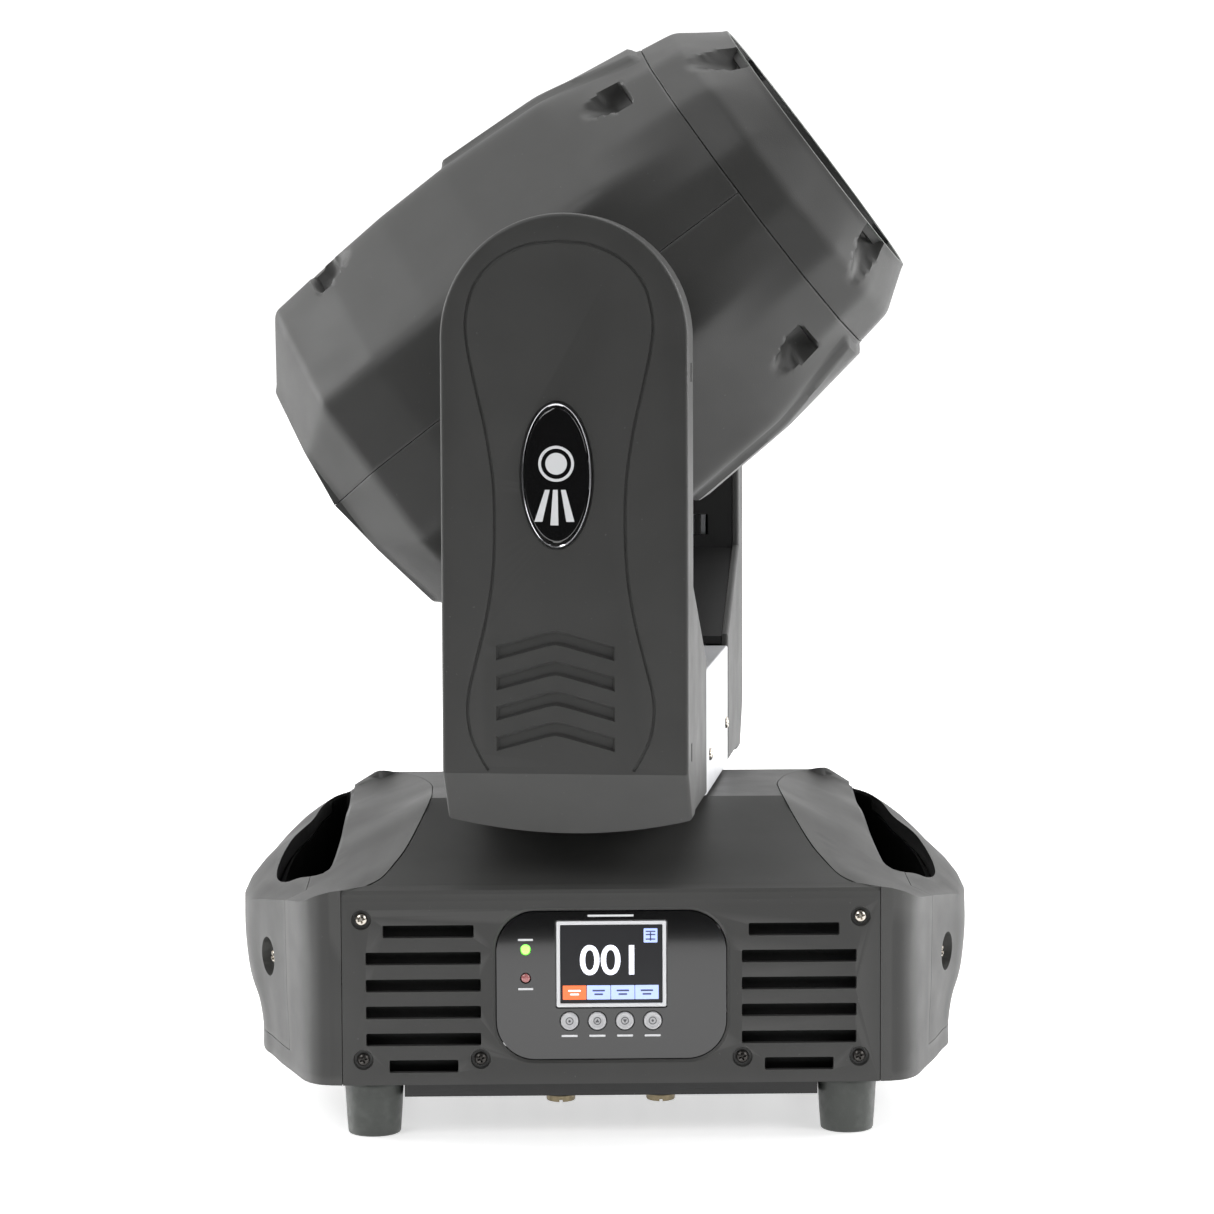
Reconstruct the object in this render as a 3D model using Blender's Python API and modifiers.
"""Moving head light: sloped base with two carrying handles, panning yoke, tilting spot head.

Blender 4.5 script. Shapes are drawn in millimetres and stored in metres. The row frame has its origin on
the ground under the pan axis, +Z up, and the display faces -Y. Yoke parts are drawn in the yoke's frame:
X across an arm, Y along the tilt axis, near arm at -Y. Head parts are drawn in the head's frame: Z along
the beam, Y along the tilt axis, X towards the lower shell. Each frame is an empty on its joint's axis.
"""

import math

import bmesh
import bpy
from mathutils import Matrix, Vector

# ================================================================ driving dimensions, in millimetres
MM = 0.001
WELD = 0.0001             # merge distance of every modifier that merges
CLEAN = 0.002             # shortest edge left on a finished piece
GAP = 0.3                 # clearance between pieces that touch
WALL = 3.0                # moulded covers
FAR_OUT = 200.0           # where a cutter ends in free space

BASE_Y = 118.0            # half depth of the base
COVER_X = 117.0           # half width of the front and rear covers
FLOOR_Z = 24.3            # underside of the covers, top of the feet
FOLD_Z = 110.0            # fold between the upright face and the slope
TOP_Z = 140.7
TOP_Y = 48.0              # half depth of the top plate
SLOPE = (TOP_Z - FOLD_Z) / (BASE_Y - TOP_Y)
FOOT_X, FOOT_Y = 104.0, 100.0
HANDLE_Y = 82.0           # half length of a handle
HANDLE_Z = 33.0           # its lower edge
HANDLE_WALL = 4.5

PAN_REST = -7.7           # degrees
TILT_REST = 53.0          # degrees from straight up
TILT_Z = 359.0
ARM_W = 52.7              # half width of an arm
ARM_OUT = 150.0           # outer faces, from the pan axis
ARM_IN = 125.0            # mouth of the outer covers
ARM_TOP = 348.7           # centre of the round top
ARM_CROWN = 402.0         # above the round top
ARM_FOLD = 164.0
ARM_LOW = 135.6
ARM_SAG = 7.0             # rise of the lower edge towards the corners
BRIDGE_Y = 59.6           # half length of the bridge between the arms
BRIDGE_X = 52.4
LINER_Y = 128.0
PLATE_Y = (-131.4, -128.6)

HEAD_FRONT, HEAD_REAR = 122.0, -143.0
HEAD_WALL = 3.4
TRUNNION_R = 10.2

PANEL_W, PANEL_H, PANEL_Z, PANEL_R = 100.0, 65.0, 67.5, 17.0
PANEL_FACE = -117.0
SCREEN_W, SCREEN_H, SCREEN_Z = 47.6, 37.6, 76.7
BUTTONS = {"menu": -18.3, "up": -6.2, "down": 5.8, "enter": 17.9}
BUTTON_Z = 51.8
LAMPS = {"green": 83.2, "red": 70.8}
LAMP_X = -37.3
INLET_X, REAR_Z = -68.0, 84.0
SOCKETS = {"in": 22.0, "out": 62.0}
MOTOR_AT = (-58.0, -22.0)
TILT_MOTOR_Z = 190.0

# ================================================================ finishes: colour, roughness, metallic
FINISHES = {
    "housing": ((0.052, 0.052, 0.051), 0.5, 0.0),
    "inner_plastic": ((0.020, 0.020, 0.020), 0.4, 0.0),
    "tray_metal": ((0.015, 0.015, 0.015), 0.4, 0.3),
    "foot_rubber": ((0.075, 0.080, 0.075), 0.45, 0.0),
    "bright_screw": ((0.60, 0.60, 0.60), 0.25, 1.0),
    "black_screw": ((0.03, 0.03, 0.03), 0.35, 0.8),
    "stud_brass": ((0.35, 0.30, 0.20), 0.35, 0.9),
    "gloss_panel": ((0.01, 0.01, 0.01), 0.06, 0.0),
    "display": ((0.75, 0.75, 0.78), 0.3, 0.0),
    "button_cap": ((0.60, 0.60, 0.62), 0.35, 0.0),
    "lamp_green": ((0.20, 0.90, 0.20), 0.3, 0.0),
    "lamp_red": ((0.50, 0.25, 0.25), 0.3, 0.0),
    "socket_metal": ((0.30, 0.30, 0.30), 0.35, 1.0),
    "bare_aluminium": ((0.75, 0.75, 0.76), 0.4, 1.0),
    "motor_steel": ((0.30, 0.30, 0.30), 0.4, 1.0),
    "lens_glass": ((0.80, 0.82, 0.85), 0.05, 0.0),
}

for old in list(bpy.data.objects):
    bpy.data.objects.remove(old)
PARTS = bpy.data.collections.new("moving_head_light")
bpy.context.scene.collection.children.link(PARTS)


# ================================================================ modelling tools
def linked(mesh):
    obj = bpy.data.objects.new("piece", mesh)
    PARTS.objects.link(obj)
    return obj


def closed(mesh, split=False):
    """Welds a closed mesh, turns its faces out and makes it an object; split cuts it into triangles."""
    bm = bmesh.new()
    bm.from_mesh(mesh)
    bmesh.ops.remove_doubles(bm, verts=bm.verts, dist=WELD)
    if split:
        bmesh.ops.triangulate(bm, faces=bm.faces, ngon_method="EAR_CLIP")
    bmesh.ops.recalc_face_normals(bm, faces=bm.faces)
    if bm.calc_volume(signed=True) < 0:
        bmesh.ops.reverse_faces(bm, faces=bm.faces)
    bm.to_mesh(mesh)
    bm.free()
    return linked(mesh)


def evaluated(obj):
    """The object's mesh with its modifiers applied; the object itself goes."""
    graph = bpy.context.evaluated_depsgraph_get()
    graph.update()
    mesh = bpy.data.meshes.new_from_object(obj.evaluated_get(graph))
    bpy.data.objects.remove(obj)
    return mesh


def combined(solid, other, operation):
    cut = solid.modifiers.new("cut", "BOOLEAN")
    cut.operation = operation
    cut.object = other
    cut.solver = "EXACT"
    result = linked(evaluated(solid))
    bpy.data.objects.remove(other)
    return result


def minus(solid, *cutters):
    for cutter in cutters:
        solid = combined(solid, cutter, "DIFFERENCE")
    return solid


def plus(solid, *others):
    for other in others:
        solid = combined(solid, other, "UNION")
    return solid


def common(solid, other):
    return combined(solid, other, "INTERSECT")


def moved(obj, matrix):
    obj.data.transform(matrix)
    if matrix.determinant() < 0:
        obj.data.flip_normals()
    return obj


def box(x0, x1, y0, y1, z0, z1):
    size = Matrix.Diagonal((x1 - x0, y1 - y0, z1 - z0, 1))
    centre = Matrix.Translation(((x0 + x1) / 2, (y0 + y1) / 2, (z0 + z1) / 2))
    bm = bmesh.new()
    bmesh.ops.create_cube(bm, size=1.0, matrix=centre @ size)
    mesh = bpy.data.meshes.new("box")
    bm.to_mesh(mesh)
    bm.free()
    return linked(mesh)


# what turns a shape drawn along Z so that it runs along another axis
ALONG = {
    "X": Matrix(((0, 0, 1, 0), (1, 0, 0, 0), (0, 1, 0, 0), (0, 0, 0, 1))),
    "Y": Matrix.Rotation(math.pi / 2, 4, "X"),
    "Z": Matrix.Identity(4),
}


def spanned(lo, hi, axis):
    """Centres a shape of the right depth between lo and hi, and turns it to its axis."""
    middle = (lo + hi) / 2
    return ALONG[axis] @ Matrix.Translation((0, 0, -middle if axis == "Y" else middle))


def cylinder(radius, lo, hi, sides=24, axis="Z", at=(0.0, 0.0)):
    """at is (x, y) along Z, (x, z) along Y and (y, z) along X."""
    bm = bmesh.new()
    depth = hi - lo
    bmesh.ops.create_cone(bm, cap_ends=True, segments=sides, radius1=radius, radius2=radius, depth=depth)
    mesh = bpy.data.meshes.new("cylinder")
    bm.to_mesh(mesh)
    bm.free()
    return moved(linked(mesh), spanned(lo, hi, axis) @ Matrix.Translation((*at, 0)))


def plate(outline, lo, hi, axis="Z"):
    """A flat outline as a filled curve: (x, y) along Z, (x, z) along Y or (y, z) along X."""
    curve = bpy.data.curves.new("outline", "CURVE")
    curve.dimensions = "2D"
    curve.fill_mode = "BOTH"
    curve.extrude = (hi - lo) / 2
    spline = curve.splines.new("POLY")
    spline.points.add(len(outline) - 1)
    for point, (a, b) in zip(spline.points, outline):
        point.co = (a, b, 0, 1)
    spline.use_cyclic_u = True
    flat = closed(evaluated(linked(curve)))
    bm = bmesh.new()
    bm.from_mesh(flat.data)
    bmesh.ops.dissolve_limit(bm, angle_limit=0.001, verts=bm.verts, edges=bm.edges)
    bm.to_mesh(flat.data)
    bm.free()
    return moved(flat, spanned(lo, hi, axis))


def turned(profile, steps=24, ring=False):
    """Turns (radius, height) pairs about Z; a ring's profile closes on itself, away from the axis."""
    if not ring:
        profile = [(0, profile[0][1]), *profile, (0, profile[-1][1])]
    edges = [(i, i + 1) for i in range(len(profile) - 1)]
    if ring:
        edges.append((len(profile) - 1, 0))
    mesh = bpy.data.meshes.new("profile")
    mesh.from_pydata([(radius, 0, height) for radius, height in profile], edges, [])
    obj = linked(mesh)
    screw = obj.modifiers.new("turn", "SCREW")
    screw.steps = steps
    screw.render_steps = steps
    screw.use_merge_vertices = True
    screw.merge_threshold = WELD
    return closed(evaluated(obj))


def grid_faces(rows, columns):
    faces = []
    for row in range(rows - 1):
        for column in range(columns - 1):
            corner = row * columns + column
            faces.append((corner, corner + 1, corner + columns + 1, corner + columns))
    return faces


def loft(sections, ring=False):
    """Joins sections of equal length, unlike in shape: capped at both ends, or closed into a tube."""
    count = len(sections[0])
    spans = len(sections) if ring else len(sections) - 1
    faces = []
    for span in range(spans):
        here = span * count
        there = ((span + 1) % len(sections)) * count
        for j in range(count):
            k = (j + 1) % count
            faces.append((here + j, here + k, there + k, there + j))
    if not ring:
        faces.append(tuple(range(count)))
        faces.append(tuple(range(len(sections) * count - 1, (len(sections) - 1) * count - 1, -1)))
    mesh = bpy.data.meshes.new("loft")
    mesh.from_pydata([point for section in sections for point in section], [], faces)
    return closed(mesh, split=True)


def walled(outer, inner):
    """A moulded wall between two grids of points, with its edges closed between the grids."""
    rows, columns = len(outer), len(outer[0])
    points = [point for row in outer + inner for point in row]
    offset = rows * columns
    front = grid_faces(rows, columns)
    faces = front + [tuple(offset + i for i in reversed(face)) for face in front]
    rim = list(range(columns))
    rim += [row * columns + columns - 1 for row in range(1, rows)]
    rim += [(rows - 1) * columns + column for column in range(columns - 2, -1, -1)]
    rim += [row * columns for row in range(rows - 2, 0, -1)]
    for here, there in zip(rim, rim[1:] + rim[:1]):
        faces.append((there, here, offset + here, offset + there))
    mesh = bpy.data.meshes.new("wall")
    mesh.from_pydata(points, [], faces)
    return closed(mesh)


def thickened(rows, thickness):
    """An open surface from rows of points, given its wall inwards by Solidify."""
    mesh = bpy.data.meshes.new("surface")
    mesh.from_pydata([point for row in rows for point in row], [], grid_faces(len(rows), len(rows[0])))
    obj = linked(mesh)
    solidify = obj.modifiers.new("wall", "SOLIDIFY")
    solidify.thickness = thickness
    solidify.offset = -1.0
    solidify.use_even_offset = True
    return closed(evaluated(obj))


def mirrored(obj, axis):
    """Cuts the solid at the plane through the origin and mirrors the side that is kept."""
    mirror = obj.modifiers.new("mirror", "MIRROR")
    mirror.use_axis = [name == axis for name in "XYZ"]
    mirror.use_bisect_axis = [name == axis for name in "XYZ"]
    mirror.merge_threshold = WELD
    return closed(evaluated(obj))


def eased(obj, width):
    """Breaks the solid's sharp edges."""
    bevel = obj.modifiers.new("edges", "BEVEL")
    bevel.width = width
    bevel.segments = 1
    bevel.limit_method = "ANGLE"
    return closed(evaluated(obj))


def rounded(width, height, radius, x=0.0, y=0.0, steps=4):
    """A rectangle's outline with round corners."""
    outline = []
    for sx, sy, start in ((1, 1, 0), (-1, 1, 90), (-1, -1, 180), (1, -1, 270)):
        for i in range(steps + 1):
            angle = math.radians(start + 90 * i / steps)
            corner_x = x + sx * (width / 2 - radius)
            corner_y = y + sy * (height / 2 - radius)
            outline.append((corner_x + radius * math.cos(angle), corner_y + radius * math.sin(angle)))
    return outline


def facing(direction, centre):
    """Turns +Z to a direction and moves the origin to a centre."""
    turn = Vector(direction).to_track_quat("Z", "Y").to_matrix().to_4x4()
    return Matrix.Translation(centre) @ turn


def in_metres(matrix):
    scaled = matrix.copy()
    scaled.translation *= MM
    return scaled


def frame(name, place, parent=None):
    """An empty on a joint's axis, or the row frame itself."""
    empty = bpy.data.objects.new(name, None)
    PARTS.objects.link(empty)
    empty.parent = parent
    empty.matrix_basis = in_metres(place)
    return empty


def node(name, finish, obj, parent, place=Matrix.Identity(4)):
    """Names a finished solid, gives it a material of its own and places it in its frame, in metres."""
    bm = bmesh.new()
    bm.from_mesh(obj.data)
    bmesh.ops.remove_doubles(bm, verts=bm.verts, dist=CLEAN)
    bmesh.ops.dissolve_degenerate(bm, dist=CLEAN, edges=bm.edges)
    midway = [vert for vert in bm.verts if len(vert.link_edges) == 2]
    bmesh.ops.dissolve_verts(bm, verts=midway)
    bmesh.ops.triangulate(bm, faces=bm.faces)
    bm.to_mesh(obj.data)
    bm.free()
    obj.data.transform(Matrix.Scale(MM, 4))
    obj.data.shade_smooth()
    obj.data.set_sharp_from_angle(angle=math.radians(30))
    obj.name = name
    obj.data.name = name
    obj.parent = parent
    obj.matrix_basis = in_metres(place)
    colour, roughness, metallic = FINISHES[finish]
    material = bpy.data.materials.new(f"{name}_{finish}")
    material.use_nodes = True
    shader = material.node_tree.nodes["Principled BSDF"]
    shader.inputs["Base Color"].default_value = (*colour, 1.0)
    shader.inputs["Roughness"].default_value = roughness
    shader.inputs["Metallic"].default_value = metallic
    obj.data.materials.clear()
    obj.data.materials.append(material)
    return obj


HALF_TURN = Matrix.Rotation(math.pi, 4, "Z")
BASE = frame("base_frame", Matrix.Identity(4))
YOKE = frame("pan_axis", Matrix.Rotation(math.radians(PAN_REST), 4, "Z"), BASE)
HEAD_PLACE = Matrix.Translation((0, 0, TILT_Z)) @ Matrix.Rotation(math.radians(TILT_REST), 4, "Y")
HEAD = frame("tilt_axis", HEAD_PLACE, YOKE)
FLIP_X = Matrix.Diagonal((-1, 1, 1, 1))
FLIP_Y = Matrix.Diagonal((1, -1, 1, 1))

# ================================================================ base: front and rear covers
# half width of the slope at heights from the fold to the top plate: an arc beside each side cap
ARCED_SEAM = ((111.1, 106.4), (114.0, 99.5), (118.8, 93.9), (124.1, 89.0), (132.5, 83.6), (TOP_Z, 79.0))
STRAIGHT_SEAM = ((TOP_Z, 107.7),)
COVER_SCREWS = ((-108.5, 97.0), (108.5, 97.0), (-108.0, 35.5), (108.0, 35.5), (-57.0, 35.5), (57.0, 35.5))
VENTS = ((60.0, 99.0), (57.0, 106.5), (57.0, 106.5), (57.0, 106.5), (57.0, 106.5), (67.0, 96.5))
VENT_TOP_Z, VENT_PITCH, VENT_HALF = 91.7, 11.84, 2.5
REAR_VENT_Z = (36.0, 47.0, 58.0)
EDGE_SET_IN = 1.8         # keeps the covers' inner edges clear of the side caps
PANEL_CUT = (-125.0, -110.0)


def folded_cover(seam):
    """The upright face and its slope, a tapering sheet moulded in one, as a front cover."""
    sheet = 1.1 * WALL
    inner_y = BASE_Y - WALL
    levels = [
        (FLOOR_Z, COVER_X, BASE_Y, FLOOR_Z, inner_y, COVER_X - EDGE_SET_IN),
        (FOLD_Z, COVER_X, BASE_Y, FOLD_Z - 2.4, inner_y, COVER_X - EDGE_SET_IN),
    ]
    for z, half in seam:
        y = BASE_Y - (z - FOLD_Z) / SLOPE + (0.2 if z == TOP_Z else 0.0)
        levels.append((z, half, y, z - sheet, min(y, inner_y - 0.05), half))
    sections = []
    for z, half, y, inner_z, inside_y, inner_half in levels:
        outer = [(-half, -y, z), (half, -y, z)]
        inner = [(inner_half, -inside_y, inner_z), (-inner_half, -inside_y, inner_z)]
        sections.append(outer + inner)
    return loft(sections)


def front_cover():
    cover = folded_cover(ARCED_SEAM)
    for i, (near, far) in enumerate(VENTS):
        z = VENT_TOP_Z - VENT_PITCH * i
        cover = minus(cover, box(near, far, *PANEL_CUT, z - VENT_HALF, z + VENT_HALF))
    for x, z in COVER_SCREWS:
        if x > 0:
            cover = minus(cover, cylinder(1.9, *PANEL_CUT, 10, "Y", (x, z)))
            cover = minus(cover, cylinder(3.9, PANEL_CUT[0], -BASE_Y + 1.8, 14, "Y", (x, z)))
    cover = mirrored(cover, "X")
    seat = rounded(PANEL_W + 0.8, PANEL_H + 0.8, PANEL_R + 0.4, 0, PANEL_Z)
    node("front_cover", "housing", minus(cover, plate(seat, *PANEL_CUT, "Y")), BASE)


def cover_screws():
    profile = [(1.5, -7.0), (1.5, 0.0), (2.8, 0.0), (2.8, 0.9), (1.9, 1.6)]
    for i, (x, z) in enumerate(COVER_SCREWS):
        finish = "bright_screw" if i < 2 else "black_screw"
        place = facing((0, -1, 0), (x, -BASE_Y + 1.8 - GAP, z))
        node(f"cover_screw_{i + 1}", finish, turned(profile, 12), BASE, place)


def rear_cover():
    cover = moved(folded_cover(STRAIGHT_SEAM), FLIP_Y)
    for z in REAR_VENT_Z:
        cover = minus(cover, box(30, 95, 110, 125, z - VENT_HALF, z + VENT_HALF))
    cover = mirrored(cover, "X")
    cover = minus(cover, box(INLET_X - 14.5, INLET_X + 14.5, 110, 125, REAR_Z - 16.5, REAR_Z + 16.5))
    for x in SOCKETS.values():
        cover = minus(cover, cylinder(12.2, 110, 125, 24, "Y", (x, REAR_Z)))
    node("rear_cover", "housing", cover, BASE)


# the top plate's side edge, from the front corner to the rear one, where each side cap rises to meet it
TOP_EDGE = ((79.3, -47.7), (79.3, -20.0), (80.2, 0.3), (85.7, 25.3), (94.7, 42.4), (104.0, 46.4), (104.0, 47.8))


def top_plate():
    outline = list(TOP_EDGE) + [(-x, y) for x, y in reversed(TOP_EDGE)]
    top = plate(outline, TOP_Z - WALL, TOP_Z)
    node("top_plate", "housing", minus(top, cylinder(27.0, 130, 150, 32)), BASE)


# ================================================================ base: side caps, hand pockets, handles
# The right cap's skin, one line for each column from the front cover's seam to the rear cover's:
# wall x, y; share of the wall's bulge; crease x, y, z; inner edge x, y, z; crown of the shoulder between.
CAP = (
    (117.3, -118.0, 0.00, 117.3, -118.0, 110.0, 117.2, -118.0, 110.1, 0.0),
    (121.8, -117.6, 0.00, 122.0, -117.2, 109.3, 106.9, -114.7, 111.3, 0.0),
    (128.0, -115.0, 0.00, 128.5, -114.0, 107.0, 100.0, -108.3, 114.1, 0.0),
    (134.0, -107.0, 0.00, 135.0, -106.5, 103.5, 94.4, -97.2, 119.0, 0.0),
    (140.0, -88.5, 0.10, 141.5, -88.0, 101.0, 89.5, -85.2, 124.3, 0.0),
    (146.0, -70.0, 0.25, 148.0, -70.0, 98.5, 84.1, -66.2, 132.6, 0.0),
    (151.5, -50.0, 0.57, 156.5, -49.0, 95.5, 79.6, -47.6, 140.7, 1.0),
    (156.5, -32.0, 0.85, 162.5, -32.0, 93.0, 79.6, -20.0, 140.7, 5.0),
    (158.5, 0.0, 1.00, 166.5, 0.0, 92.0, 80.5, 0.0, 140.7, 11.0),
    (156.5, 32.0, 0.85, 160.0, 32.0, 98.0, 86.0, 25.0, 140.7, 9.0),
    (151.5, 50.0, 0.57, 151.0, 48.0, 107.0, 95.0, 42.0, 140.7, 7.0),
    (146.0, 70.0, 0.25, 141.0, 70.0, 116.0, 108.0, 47.6, 140.7, 1.0),
    (134.0, 107.0, 0.00, 131.0, 104.0, 112.0, 112.9, 83.0, 125.3, 3.0),
    (117.3, 118.0, 0.00, 117.3, 118.0, 110.0, 117.2, 118.0, 110.1, 0.0),
)
BULGE = 8.0
BULGE_AT = ((FLOOR_Z, 0.0), (34.0, 0.0), (46.0, 0.25), (58.0, 0.75), (76.0, 1.0))
SHOULDER = (0.12, 0.38, 0.68, 1.0)
SINK, END_SINK = 1.15, 0.5   # how far the shoulder's inner face drops for each unit of wall
SPINE_X = 60.0            # back of the solids that trim the pocket
OPENING = (
    (122.0, -60.0), (140.0, -53.0), (146.5, -46.0), (150.0, -34.0), (149.5, -18.0),
    (145.0, 2.0), (137.5, 28.0), (129.5, 54.0), (118.0, 60.0),
)
POCKET_Z = 52.0
BOLT_SEAT = 1.6
BOLTS = {
    "front": (Vector((0.964, -0.265, 0.0)), Vector((149.6, -57.0, 71.0))),
    "rear": (Vector((0.964, 0.265, 0.0)), Vector((149.6, 57.0, 71.0))),
}


def seam_x(y):
    """The handle's inner joint line, which runs slightly inwards to the rear."""
    return 134.0 - 6.5 * (y + HANDLE_Y) / (2 * HANDLE_Y)


def handle_zone(inset, reach=HANDLE_Y):
    front, rear = -reach + inset, reach - inset
    return [(seam_x(front) + inset, front), (FAR_OUT, front), (FAR_OUT, rear), (seam_x(rear) + inset, rear)]


def inward(column):
    """The wall's inward direction in plan; the end columns stay in line with the covers' seams."""
    if column == 0:
        return 0.0, 1.0
    if column == len(CAP) - 1:
        return 0.0, -1.0
    before, after = CAP[column - 1], CAP[column + 1]
    run_x, run_y = after[0] - before[0], after[1] - before[1]
    length = math.hypot(run_x, run_y)
    return -run_y / length, run_x / length


def cap_skin(depth):
    """The right cap's skin, sunk by depth, as rows of points from the floor to the top plate."""
    rows = []
    for z, bulge in BULGE_AT:
        row = []
        for column, (x, y, share, *_) in enumerate(CAP):
            in_x, in_y = inward(column)
            row.append((x + BULGE * bulge * share + depth * in_x, y + depth * in_y, z))
        rows.append(row)
    creases = []
    for column, (_, _, _, x, y, z, *_) in enumerate(CAP):
        in_x, in_y = inward(column)
        sink = END_SINK if column in (0, len(CAP) - 1) else SINK
        creases.append((x + depth * in_x, y + depth * in_y, z - sink * depth))
    rows.append(creases)
    for share in SHOULDER:
        row = []
        for column, (_, _, _, x, y, z, inner_x, inner_y, inner_z, crown) in enumerate(CAP):
            in_x, in_y = inward(column)
            sideways, sink = depth * (1 - share), SINK
            if column in (0, len(CAP) - 1):
                sideways, sink = depth, END_SINK
            rise = crown * math.sin(math.pi * share ** 0.6)
            row.append((
                x + share * (inner_x - x) + sideways * in_x,
                y + share * (inner_y - y) + sideways * in_y,
                z + share * (inner_z - z) + rise - sink * depth,
            ))
        rows.append(row)
    return rows


def cap_solid(depth):
    """What lies within the skin beside the pocket, back to a plane inside the base."""
    sections = []
    for row in cap_skin(depth):
        row = row[3:-1]
        front, rear = row[0], row[-1]
        sections.append(row + [(SPINE_X, rear[1], rear[2]), (SPINE_X, front[1], front[2])])
    return loft(sections)


def grown(distance):
    """The opening's outline, grown about its middle."""
    middle_x, half_x, half_y = 132.0, 16.0, 58.0
    wider, longer = 1 + distance / half_x, 1 + distance / half_y
    return [(middle_x + wider * (x - middle_x), longer * y) for x, y in OPENING]


def hand_pocket():
    """The cup that the fingers reach into: it meets the cap's skin and stays under the handle's."""
    room = minus(cap_solid(WALL / 2), plate(handle_zone(-GAP, FAR_OUT), 0, FAR_OUT))
    room = plus(room, cap_solid(HANDLE_WALL + GAP))
    levels = ((-3.0, POCKET_Z), (1.6, 160.0), (-0.6, 160.0), (-5.2, POCKET_Z + 2.0))
    return common(loft([[(x, y, z) for x, y in grown(growth)] for growth, z in levels]), room)


def side_cap(side, flip):
    cap = walled(cap_skin(0.0), cap_skin(WALL))
    cap = minus(cap, plate(handle_zone(0.0), HANDLE_Z, FAR_OUT), plate(OPENING, 60, FAR_OUT))
    floor = [(x, y) for x, y, _ in cap_skin(WALL / 2)[0]] + [(114.0, 113.0), (114.0, -113.0)]
    cap = plus(cap, hand_pocket(), plate(floor, FLOOR_Z, FLOOR_Z + WALL))
    node(f"side_cap_{side}", "housing", moved(cap, flip), BASE)


def handle(side, flip):
    grip = walled(cap_skin(0.0), cap_skin(HANDLE_WALL))
    grip = common(grip, plate(handle_zone(GAP), HANDLE_Z + GAP, FAR_OUT))
    grip = minus(grip, plate(OPENING, 60, FAR_OUT))
    for normal, seat in BOLTS.values():
        recess = turned([(3.2, -12.0), (3.2, -BOLT_SEAT), (8.3, -BOLT_SEAT), (8.3, 12.0)], 14)
        grip = minus(grip, moved(recess, facing(normal, seat)))
    node(f"handle_{side}", "housing", moved(grip, flip), BASE)


def handle_bolts(side, flip):
    profile = [(2.6, -5.6), (2.6, 0.0), (5.2, 0.0), (5.2, 1.6), (3.6, 2.8)]
    for end, (normal, seat) in BOLTS.items():
        centre = seat - (BOLT_SEAT - GAP) * normal
        place = facing(flip.to_3x3() @ normal, flip @ centre)
        node(f"handle_bolt_{side}_{end}", "bright_screw", turned(profile, 12), BASE, place)


# ================================================================ base: underside
STUD_X, STUD_Y = 22.0, -96.0


def bottom_tray():
    sections = []
    for x, y, z in (
        (90.5, 108.0, 17.0), (90.5, 108.0, FLOOR_Z), (113.6, 114.6, FLOOR_Z),
        (113.6, 114.6, 27.3), (88.0, 105.5, 27.3), (88.0, 105.5, 19.5),
    ):
        sections.append([(-x, -y, z), (x, -y, z), (x, y, z), (-x, y, z)])
    tray = loft(sections)
    for x in (-STUD_X, STUD_X):
        tray = minus(tray, cylinder(4.5, 10, 22, 12, "Z", (x, STUD_Y)))
    node("bottom_tray", "tray_metal", tray, BASE)


def feet():
    for end, y in (("front", -FOOT_Y), ("rear", FOOT_Y)):
        for side, x in (("left", -FOOT_X), ("right", FOOT_X)):
            foot = turned([(11.0, 0.0), (11.5, 0.7), (13.0, FLOOR_Z - GAP)], 28)
            node(f"foot_{end}_{side}", "foot_rubber", foot, BASE, Matrix.Translation((x, y, 0)))


def bracket_studs():
    for side, x in (("left", -STUD_X), ("right", STUD_X)):
        stud = turned([(5.0, 12.6), (6.4, 13.2), (6.4, 16.7), (4.2, 16.7), (4.2, 21.0)], 16)
        node(f"bracket_stud_{side}", "stud_brass", stud, BASE, Matrix.Translation((x, STUD_Y, 0)))


# ================================================================ base: display and rear sockets
def display_panel():
    panel = plate(rounded(PANEL_W, PANEL_H, PANEL_R, 0, PANEL_Z, 6), PANEL_FACE, -114.4, "Y")
    half_w, half_h = SCREEN_W / 2 + GAP, SCREEN_H / 2 + GAP
    panel = minus(panel, box(-half_w, half_w, -120, -110, SCREEN_Z - half_h, SCREEN_Z + half_h))
    for x in BUTTONS.values():
        panel = minus(panel, cylinder(4.2, -120, -110, 20, "Y", (x, BUTTON_Z)))
    for z in LAMPS.values():
        panel = minus(panel, cylinder(2.3, -120, -110, 12, "Y", (LAMP_X, z)))
    node("display_panel", "gloss_panel", panel, BASE)


def display_module():
    half_w, half_h = SCREEN_W / 2, SCREEN_H / 2
    module = box(-half_w, half_w, -116.6, -106.0, SCREEN_Z - half_h, SCREEN_Z + half_h)
    node("display_module", "display", plus(module, box(-47, 47, -107.0, -105.3, 38, 97)), BASE)


def buttons_and_lamps():
    for word, x in BUTTONS.items():
        cap = turned([(3.85, -6.0), (3.85, 0.4), (3.3, 1.0)], 20)
        node(f"button_{word}", "button_cap", cap, BASE, facing((0, -1, 0), (x, PANEL_FACE, BUTTON_Z)))
    for word, z in LAMPS.items():
        lamp = turned([(2.0, -4.0), (2.0, -0.2), (1.2, 0.4)], 12)
        node(f"indicator_{word}", f"lamp_{word}", lamp, BASE, facing((0, -1, 0), (LAMP_X, PANEL_FACE, z)))


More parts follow.
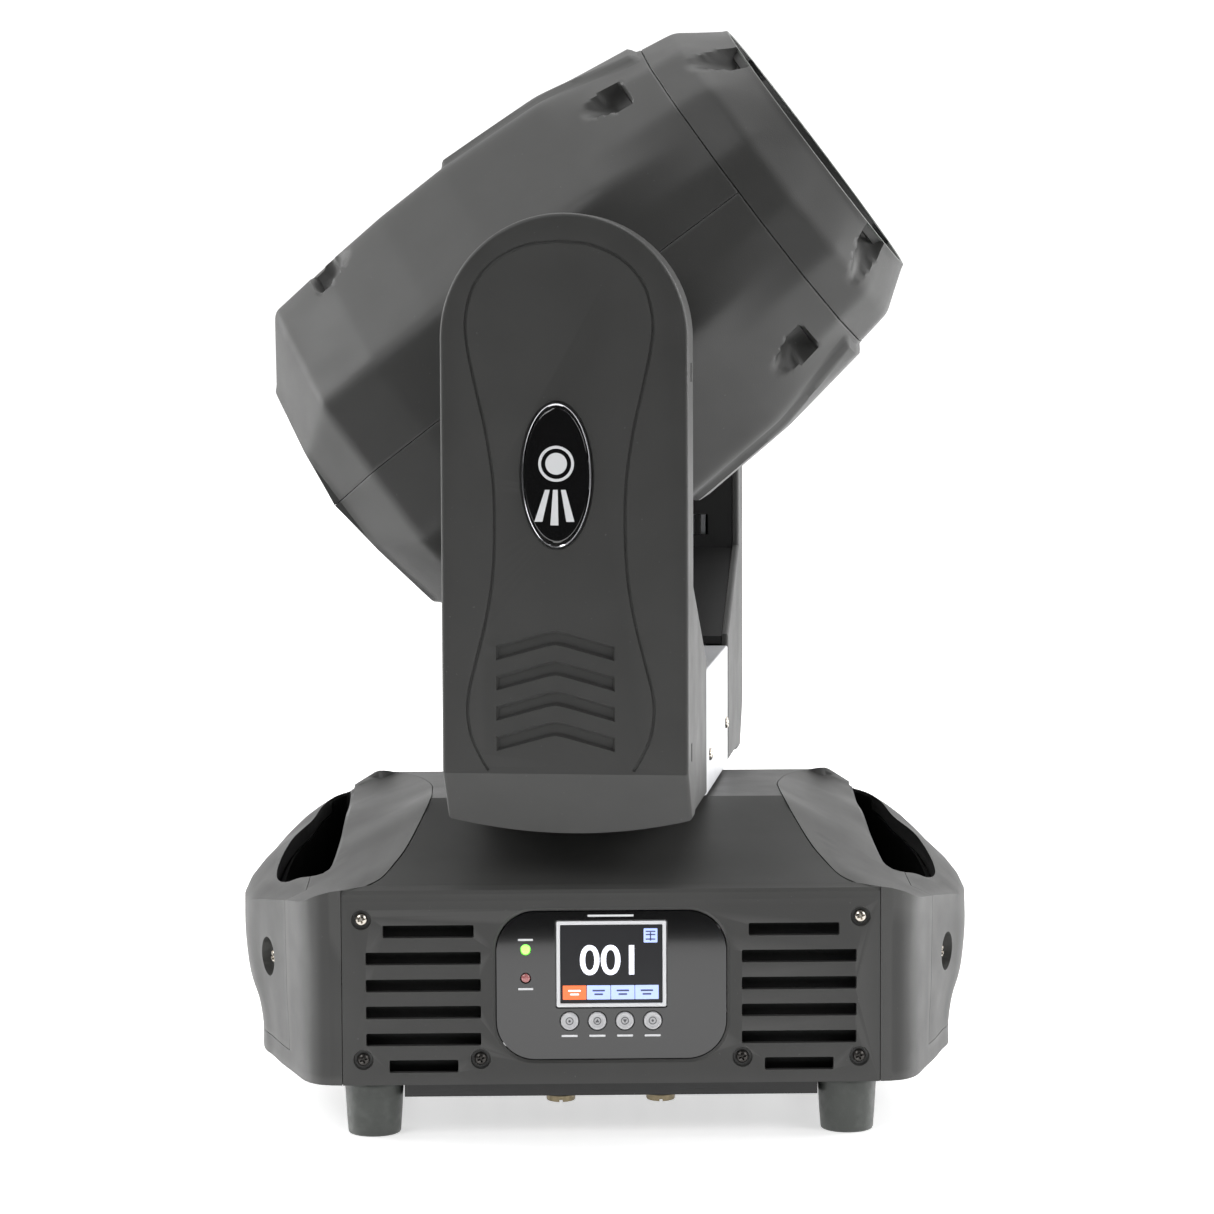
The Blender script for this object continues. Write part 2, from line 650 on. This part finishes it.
def power_inlet():
    inlet = box(INLET_X - 17.5, INLET_X + 17.5, 118.3, 121.3, REAR_Z - 19.5, REAR_Z + 19.5)
    inlet = plus(inlet, box(INLET_X - 14.2, INLET_X + 14.2, 96.0, 119.3, REAR_Z - 16.2, REAR_Z + 16.2))
    throat = [(-12, -8), (12, -8), (12, 4), (8, 8), (-8, 8), (-12, 4)]
    mouth = plate([(INLET_X + x, REAR_Z + z) for x, z in throat], 103, 130, "Y")
    node("power_inlet", "inner_plastic", minus(inlet, mouth), BASE)


def data_sockets():
    for word, x in SOCKETS.items():
        socket = plate(rounded(26, 31, 3, x, REAR_Z), 118.3, 120.6, "Y")
        socket = plus(socket, cylinder(11.8, 98, 119.3, 24, "Y", (x, REAR_Z)))
        socket = minus(socket, cylinder(9.4, 104, 130, 24, "Y", (x, REAR_Z)))
        if word == "out":
            socket = plus(socket, cylinder(8.0, 103, 117.5, 24, "Y", (x, REAR_Z)))
            for k in range(3):
                angle = math.radians(90 + 120 * k)
                hole = (x + 4.6 * math.cos(angle), REAR_Z + 4.6 * math.sin(angle))
                socket = minus(socket, cylinder(1.4, 108, 130, 8, "Y", hole))
        node(f"data_socket_{word}", "socket_metal", socket, BASE)


# ================================================================ inside the base, and the pan drive
def pulley_profile(radius, bottom):
    flange = 1.5
    return [
        (radius + flange, bottom), (radius + flange, bottom + 1.5), (radius, bottom + 1.5),
        (radius, bottom + 12.0), (radius + flange, bottom + 12.0), (radius + flange, bottom + 13.5),
    ]


def power_supply():
    node("power_supply", "bare_aluminium", eased(box(-78, 78, 22, 84, 28.2, 62), 1.0), BASE)


def pan_drive():
    x, y = MOTOR_AT
    motor = eased(box(x - 21, x + 21, y - 21, y + 21, 50, 92), 1.5)
    motor = plus(motor, box(x - 19, x + 19, y - 19, y + 19, 27.6, 50.5))
    node("pan_motor", "motor_steel", motor, BASE)
    pulley = turned(pulley_profile(8.0, -6.8), 20)
    node("pan_motor_pulley", "motor_steel", pulley, BASE, Matrix.Translation((x, y, 99.3)))
    bearing = [(24.5, 112.0), (40.0, 112.0), (40.0, 132.0), (46.0, 132.0), (46.0, 137.3), (24.5, 137.3)]
    node("pan_bearing", "inner_plastic", turned(bearing, 28, ring=True), BASE)
    shaft = [(14.0, 92.5), *pulley_profile(32.0, 92.5), (23.5, 106.0), (23.5, 142.9), (14.0, 142.9)]
    node("pan_shaft", "bare_aluminium", turned(shaft, 32, ring=True), YOKE)


# ================================================================ yoke
BRIDGE_LOW, BRIDGE_TOP, BRIDGE_SHEET = 143.2, 199.5, 2.5
CHEVRON_X, CHEVRON_TOP, CHEVRON_PITCH, CHEVRON_COUNT = -4.0, 225.0, 12.9, 4
BADGE_X, BADGE_Z, BADGE_W, BADGE_H = -3.0, 291.0, 15.0, 30.7


def yoke_bridge():
    beam = box(-BRIDGE_X, BRIDGE_X, -BRIDGE_Y, BRIDGE_Y, BRIDGE_LOW, BRIDGE_TOP)
    inner_x, inner_y = BRIDGE_X - BRIDGE_SHEET, BRIDGE_Y - BRIDGE_SHEET
    beam = minus(beam, box(-inner_x, inner_x, -inner_y, inner_y, BRIDGE_LOW + 3.0, BRIDGE_TOP - BRIDGE_SHEET))
    beam = minus(beam, cylinder(13.0, 140, 148, 20))
    beam = plus(beam, box(-40, 40, BRIDGE_Y - 1.0, LINER_Y + 0.2, 148.6, 151.4))
    node("yoke_bridge", "bare_aluminium", mirrored(beam, "Y"), YOKE)


def arm_outline(half, bottom, steps=14):
    """Round top, straight sides, and a lower edge that sags in the middle."""
    outline = []
    for i in range(9):
        x = -half + half * i / 4
        outline.append((x, bottom + ARM_SAG * (x / half) ** 2))
    for i in range(steps + 1):
        angle = math.pi * i / steps
        outline.append((half * math.cos(angle), ARM_TOP + half * math.sin(angle)))
    return outline


def arm_block(inset):
    """An arm's outer cover as a solid block, near side: its front outline crossed with its side profile."""
    side = [
        (-ARM_OUT + inset, ARM_FOLD + inset), (-ARM_OUT + inset, ARM_CROWN),
        (-ARM_IN + 4 * inset, ARM_CROWN), (-ARM_IN + 4 * inset, 243.0 - 1.2 * inset),
        (-BRIDGE_Y - 0.4 + 4 * inset, 205.0 - 1.2 * inset), (-BRIDGE_Y - 0.4 + 4 * inset, 144.2 + inset),
        (-117.5, 144.2 + inset), (-121.5, 142.2 + inset),
        (-124.5 - 0.2 * inset, ARM_LOW + 1.2 + 1.4 * inset), (-128.0 + 0.3 * inset, ARM_LOW + 1.5 * inset),
    ]
    half = ARM_W - inset
    block = plate(side, -half, half, "X")
    return common(block, plate(arm_outline(half, ARM_LOW + inset), -160, 0, "Y"))


def arm_cover(side, turn):
    cover = minus(arm_block(0.0), arm_block(WALL))
    for k in range(CHEVRON_COUNT):
        z = CHEVRON_TOP - CHEVRON_PITCH * k
        arrow = [(-24.7, z - 7), (0, z), (24.7, z - 7), (24.7, z - 12), (0, z - 5), (-24.7, z - 12)]
        cover = minus(cover, plate([(x + CHEVRON_X, h) for x, h in arrow], -160, -ARM_OUT + 1.5, "Y"))
    node(f"arm_cover_{side}", "housing", cover, YOKE, turn)


def badge(side, turn):
    sections = []
    for share, y in ((1.0, -150.3), (1.0, -151.0), (0.86, -151.6)):
        section = []
        for i in range(24):
            angle = 2 * math.pi * i / 24
            x = BADGE_X + BADGE_W * share * math.cos(angle)
            section.append((x, y, BADGE_Z + BADGE_H * share * math.sin(angle)))
        sections.append(section)
    node(f"badge_{side}", "gloss_panel", loft(sections), YOKE, turn)


def arm_liner(side, turn):
    """The inner cover: a bent sheet with a boss round the trunnion and four clip windows."""
    half = ARM_W - WALL - GAP
    bent = [
        (-LINER_Y, ARM_CROWN), (-LINER_Y, 241.2), (-62.0, 202.8), (-62.0, 200.2),
        (-60.4, 200.2), (-60.4, 203.9), (-125.3, 241.6), (-125.3, ARM_CROWN),
    ]
    liner = common(plate(bent, -half, half, "X"), plate(arm_outline(half, 100.0), -160, 0, "Y"))
    boss = turned([(11.0, 0.0), (38.4, 0.0), (34.0, 26.5), (11.0, 26.5)], 28, ring=True)
    liner = plus(liner, moved(boss, facing((0, 1, 0), (0, -126, TILT_Z))))
    liner = minus(liner, moved(cylinder(11.0, -5, 40, 28), facing((0, 1, 0), (0, -126, TILT_Z))))
    for z in (253.0, 277.0):
        for x in (-33.0, 33.0):
            liner = minus(liner, box(x - 4.5, x + 4.5, -130, -120, z - 5, z + 5))
    node(f"arm_liner_{side}", "inner_plastic", liner, YOKE, turn)


def arm_plate(side, turn):
    outline = [(-36, 152), (36, 152), (36, 330), (22, 388), (-22, 388), (-36, 330)]
    bearer = minus(plate(outline, *PLATE_Y, "Y"), cylinder(10.8, -140, -120, 24, "Y", (0, TILT_Z)))
    if side == "near":
        bearer = minus(bearer, cylinder(11.0, -140, -120, 16, "Y", (0, TILT_MOTOR_Z)))
    node(f"arm_plate_{side}", "bare_aluminium", bearer, YOKE, turn)


def tilt_drive():
    half = 20.5
    motor = box(-half, half, -127.9, -84, TILT_MOTOR_Z - half, TILT_MOTOR_Z + half)
    node("tilt_motor", "motor_steel", eased(motor, 1.5), YOKE)
    profile = [(9.3, 0.0), (9.3, 1.4), (7.8, 1.4), (7.8, 9.6), (9.3, 9.6), (9.3, 11.0)]
    place = facing((0, -1, 0), (0, -132.0, TILT_MOTOR_Z))
    node("tilt_motor_pulley", "motor_steel", turned(profile, 20), YOKE, place)


# ================================================================ head
# the body's sections from the rear to the front: along the beam, half height, half width, squareness
BODY = (
    (-139.6, 60.0, 62.0, 3.0), (-117.0, 87.2, 84.0, 3.1), (-60.0, 91.2, 91.0, 3.1), (-16.0, 93.0, 92.0, 3.0),
    (40.0, 90.3, 88.6, 2.7), (80.0, 84.4, 83.5, 2.4), (86.0, 82.6, 82.0, 2.35),
)
PAD = (-16.0, 84.0)       # the raised pad on each shell's crown, along the beam
PAD_EDGE, PAD_RISE, PAD_HALF = 4.0, 3.2, 52.0
SHELL_EDGE = 0.3          # each shell stops this far from the plane where the two meet
HALF_STEPS = 14


def between(z):
    """The body's section at z, as half height, half width and squareness."""
    for low, high in zip(BODY, BODY[1:]):
        if low[0] <= z <= high[0]:
            share = (z - low[0]) / (high[0] - low[0])
            return [a + share * (b - a) for a, b in zip(low[1:], high[1:])]
    raise ValueError(z)


def half_row(z, height, width, squareness, pad=0.0):
    """Half a section on the +X side, from -Y to +Y."""
    row = []
    for k in range(HALF_STEPS + 1):
        angle = math.radians(-90 + 180 * k / HALF_STEPS)
        across, along = math.sin(angle), max(math.cos(angle), 0.0)
        x = height * along ** (2 / squareness)
        y = width * math.copysign(abs(across) ** (2 / squareness), across)
        if abs(y) < PAD_HALF:
            x += pad
        row.append((max(x, SHELL_EDGE), y, z))
    return row


def half_shell():
    """The lower half: an open surface from the rear's middle line to the bezel, given a wall."""
    levels = sorted({section[0] for section in BODY} | {PAD[0] + PAD_EDGE, PAD[1] - PAD_EDGE, PAD[1]})
    rear = half_row(HEAD_REAR, *BODY[0][1:])
    rows = [[(SHELL_EDGE, y, z) for _, y, z in rear]]
    for z in levels:
        on_pad = PAD[0] + PAD_EDGE <= z <= PAD[1] - PAD_EDGE
        rows.append(half_row(z, *between(z), pad=PAD_RISE if on_pad else 0.0))
    shell = thickened(rows, HEAD_WALL)
    for vert in shell.data.vertices:
        vert.co.x = max(vert.co.x, SHELL_EDGE)
    return minus(shell, cylinder(11.5, -130, 130, 24, "Y"))


def head_shells():
    node("head_shell_lower", "housing", half_shell(), HEAD)
    upper = moved(half_shell(), FLIP_X)
    for k in range(5):
        z = -38.0 - 9.0 * k
        upper = minus(upper, box(-120, -60, -30, 30, z - 2.0, z + 2.0))
    node("head_shell_upper", "housing", upper, HEAD)


def front_bezel():
    sections = []
    for z, height, width, squareness in (
        (86.3, 82.4, 81.8, 2.35), (103.0, 80.6, 80.2, 2.3), (118.0, 70.5, 70.5, 2.1), (HEAD_FRONT, 67.0, 67.0, 2),
        (HEAD_FRONT, 65.0, 65.0, 2), (112.0, 62.5, 62.5, 2), (102.0, 61.0, 61.0, 2), (86.3, 61.0, 61.0, 2),
    ):
        section = []
        for i in range(32):
            along, across = math.cos(2 * math.pi * i / 32), math.sin(2 * math.pi * i / 32)
            x = height * math.copysign(abs(along) ** (2 / squareness), along)
            y = width * math.copysign(abs(across) ** (2 / squareness), across)
            section.append((x, y, z))
        sections.append(section)
    node("front_bezel", "housing", loft(sections, ring=True), HEAD)


def front_lens():
    lens = turned([(60.5, 92.0), (60.5, 95.0), (46.0, 98.2), (24.0, 100.2), (6.0, 100.8)], 32)
    node("front_lens", "lens_glass", lens, HEAD)


def head_chassis():
    """The frame that carries the optics, with its two trunnions and the driven tilt pulley."""
    chassis = minus(box(-38, 38, -82, 82, -50, 30), box(-35, 35, -79, 79, -70, 70))
    chassis = plus(chassis, cylinder(TRUNNION_R, 80.5, 142.0, 20, "Y"))
    chassis = mirrored(chassis, "Y")
    profile = [
        (9.0, 0.0), (32.0, 0.0), (32.0, 1.4), (30.5, 1.4), (30.5, 9.6), (32.0, 9.6), (32.0, 11.0), (9.0, 11.0),
    ]
    chassis = plus(chassis, moved(turned(profile, 32, ring=True), facing((0, -1, 0), (0, -132.0, 0))))
    node("head_chassis", "bare_aluminium", chassis, HEAD)


FIN_COUNT, FIN_PITCH, FIN_THICK = 9, 12.0, 3.0


def light_engine():
    """A finned heat sink with the lamp's collector in front of it."""
    outline = [(-48.0, -60.0)]
    for k in range(FIN_COUNT):
        y = -48.0 + FIN_PITCH * k
        last = k == FIN_COUNT - 1
        outline += [(y, -100.0), (y + FIN_THICK, -100.0), (y + FIN_THICK, -60.0 if last else -66.0)]
        if not last:
            outline.append((y + FIN_PITCH, -66.0))
    engine = plus(plate(outline, -45, 45, "X"), turned([(24.0, -60.5), (24.0, -40.0), (16.0, -24.0)], 24))
    node("light_engine", "bare_aluminium", engine, HEAD)


WHEEL_Y, WHEEL_Z, WHEEL_HOLES = 23.0, 10.0, 7
FAN_Z, FAN_BLADES = -117.0, 7


def effect_wheel():
    wheel = turned([(4.0, -6.0), (4.0, 0.0), (33.0, 0.0), (33.0, 1.6), (4.0, 1.6), (4.0, 4.0)], 26)
    for k in range(WHEEL_HOLES):
        angle = math.radians(360 / WHEEL_HOLES * k - 90)
        centre = (WHEEL_Y * math.cos(angle), WHEEL_Y * math.sin(angle))
        wheel = minus(wheel, cylinder(6.2, -3, 5, 10, "Z", centre))
    node("effect_wheel", "bare_aluminium", wheel, HEAD, Matrix.Translation((0, WHEEL_Y, WHEEL_Z)))


def focus_barrel():
    barrel = turned([(34.0, 36.0), (38.0, 36.0), (38.0, 64.0), (34.0, 64.0)], 28, ring=True)
    node("focus_barrel", "bare_aluminium", barrel, HEAD)


def head_fan():
    outline = []
    for k in range(FAN_BLADES):
        for offset, radius in ((0, 14.0), (10, 38.0), (34, 38.0), (38, 14.0)):
            angle = math.radians(360 / FAN_BLADES * k + offset)
            outline.append((radius * math.cos(angle), radius * math.sin(angle)))
    node("head_fan", "inner_plastic", plate(outline, -7, 7), HEAD, Matrix.Translation((0, 0, FAN_Z)))


# ================================================================ the whole light
front_cover()
cover_screws()
rear_cover()
top_plate()
for side, flip in (("left", FLIP_X), ("right", Matrix.Identity(4))):
    side_cap(side, flip)
    handle(side, flip)
    handle_bolts(side, flip)
bottom_tray()
feet()
bracket_studs()
display_panel()
display_module()
buttons_and_lamps()
power_inlet()
data_sockets()
power_supply()
pan_drive()
yoke_bridge()
for side, turn in (("near", Matrix.Identity(4)), ("far", HALF_TURN)):
    arm_cover(side, turn)
    badge(side, turn)
    arm_liner(side, turn)
    arm_plate(side, turn)
tilt_drive()
head_shells()
front_bezel()
front_lens()
head_chassis()
light_engine()
effect_wheel()
focus_barrel()
head_fan()
